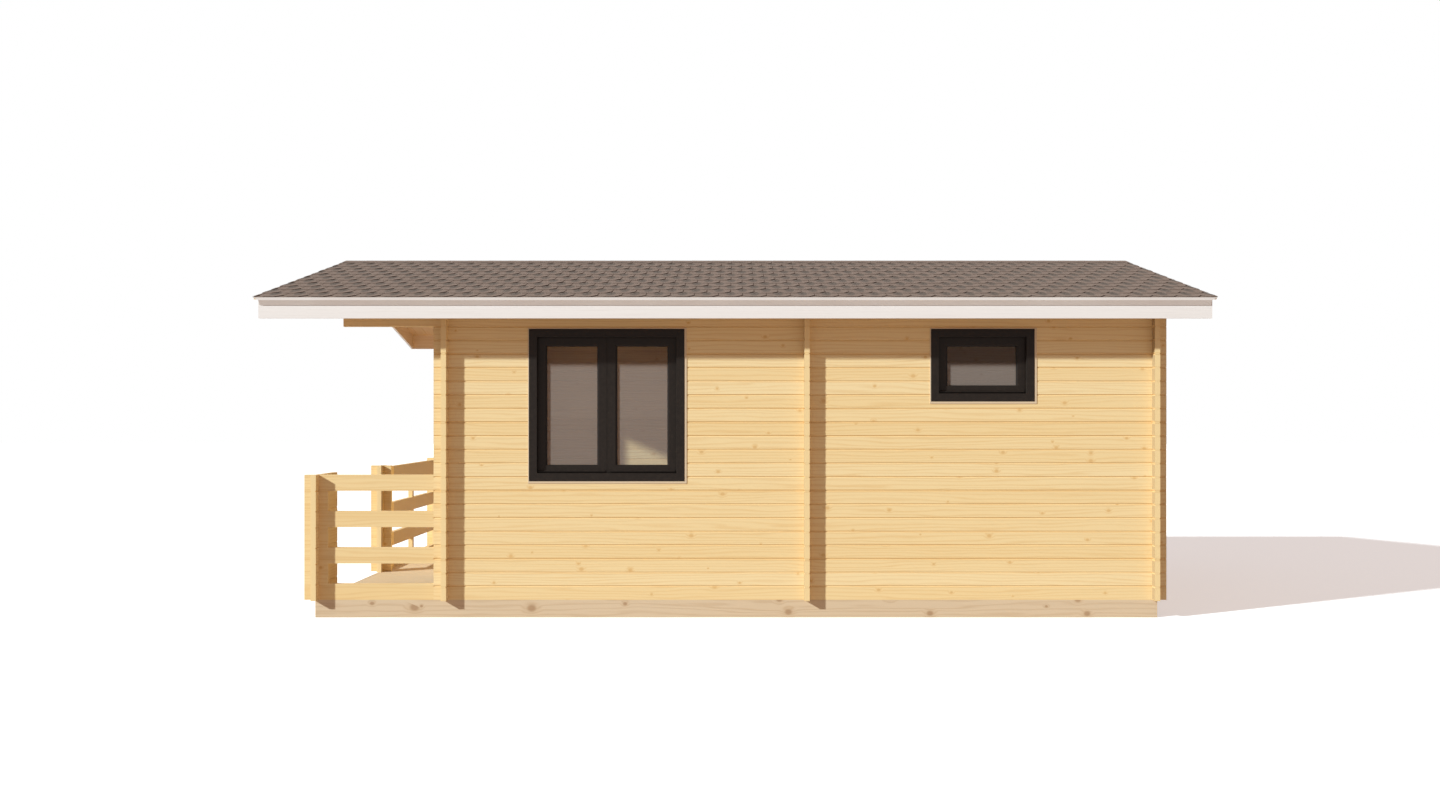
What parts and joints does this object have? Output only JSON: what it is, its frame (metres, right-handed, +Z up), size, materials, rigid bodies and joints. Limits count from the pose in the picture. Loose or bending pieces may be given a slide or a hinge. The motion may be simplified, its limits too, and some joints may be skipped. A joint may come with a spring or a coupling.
{
  "type": "log cabin",
  "caption": "Two-room log cabin with a low gable shingle roof, black casement windows and a railed, roofed front terrace.",
  "frame": {"origin": "on the ground under the middle of the roof's plan", "axes": "+X along the length, away from the terrace; +Y across, from the windowed side to the plain side; +Z up"},
  "size_m": [7.664, 4.88, 3.1803],
  "materials": {
    "base_timber": "sawn, knotty",
    "floor_boards": "planed boards",
    "wall_logs": "planed pine, clear finish",
    "rail_logs": "planed pine, clear finish",
    "roof_timber": "planed pine",
    "shingles": "mineral granules on bitumen",
    "drip_edge": "white paint",
    "white_trim": "white paint",
    "black_frame": "black satin paint",
    "glass": "tinted, clear",
    "handle_steel": "satin"
  },
  "bodies": {
    "root": {"near_bearer": "base_timber", "far_bearer": "base_timber", "front_bearer": "base_timber", "back_bearer": "base_timber", "floor_joists": "base_timber", "cabin_floor": "floor_boards", "terrace_deck": "floor_boards", "near_side_wall": "wall_logs", "far_side_wall": "wall_logs", "front_wall": "wall_logs", "back_wall": "wall_logs", "partition_wall": "wall_logs", "near_rail": "rail_logs", "far_rail": "rail_logs", "front_stub": "rail_logs", "rail_cross": "rail_logs", "front_rail": "rail_logs", "ridge_purlin": "roof_timber", "side_purlins": "roof_timber", "near_roof_boards": "roof_timber", "far_roof_boards": "roof_timber", "near_shingles": "shingles", "far_shingles": "shingles", "ridge_cap": "shingles", "near_drip_edge": "drip_edge", "far_drip_edge": "drip_edge", "near_fascia": "white_trim", "far_fascia": "white_trim", "front_near_bargeboard": "white_trim", "front_far_bargeboard": "white_trim", "back_near_bargeboard": "white_trim", "back_far_bargeboard": "white_trim", "large_window_frame": "black_frame", "large_window_sashes": "black_frame", "small_window_frame": "black_frame", "small_window_sash": "black_frame", "front_window_frame": "black_frame", "front_window_sashes": "black_frame", "door_frame": "black_frame", "door_leaf": "black_frame", "large_window_glass": "glass", "small_window_glass": "glass", "front_window_glass": "glass", "door_glass": "glass", "door_handle": "handle_steel"}
  },
  "joints": []
}
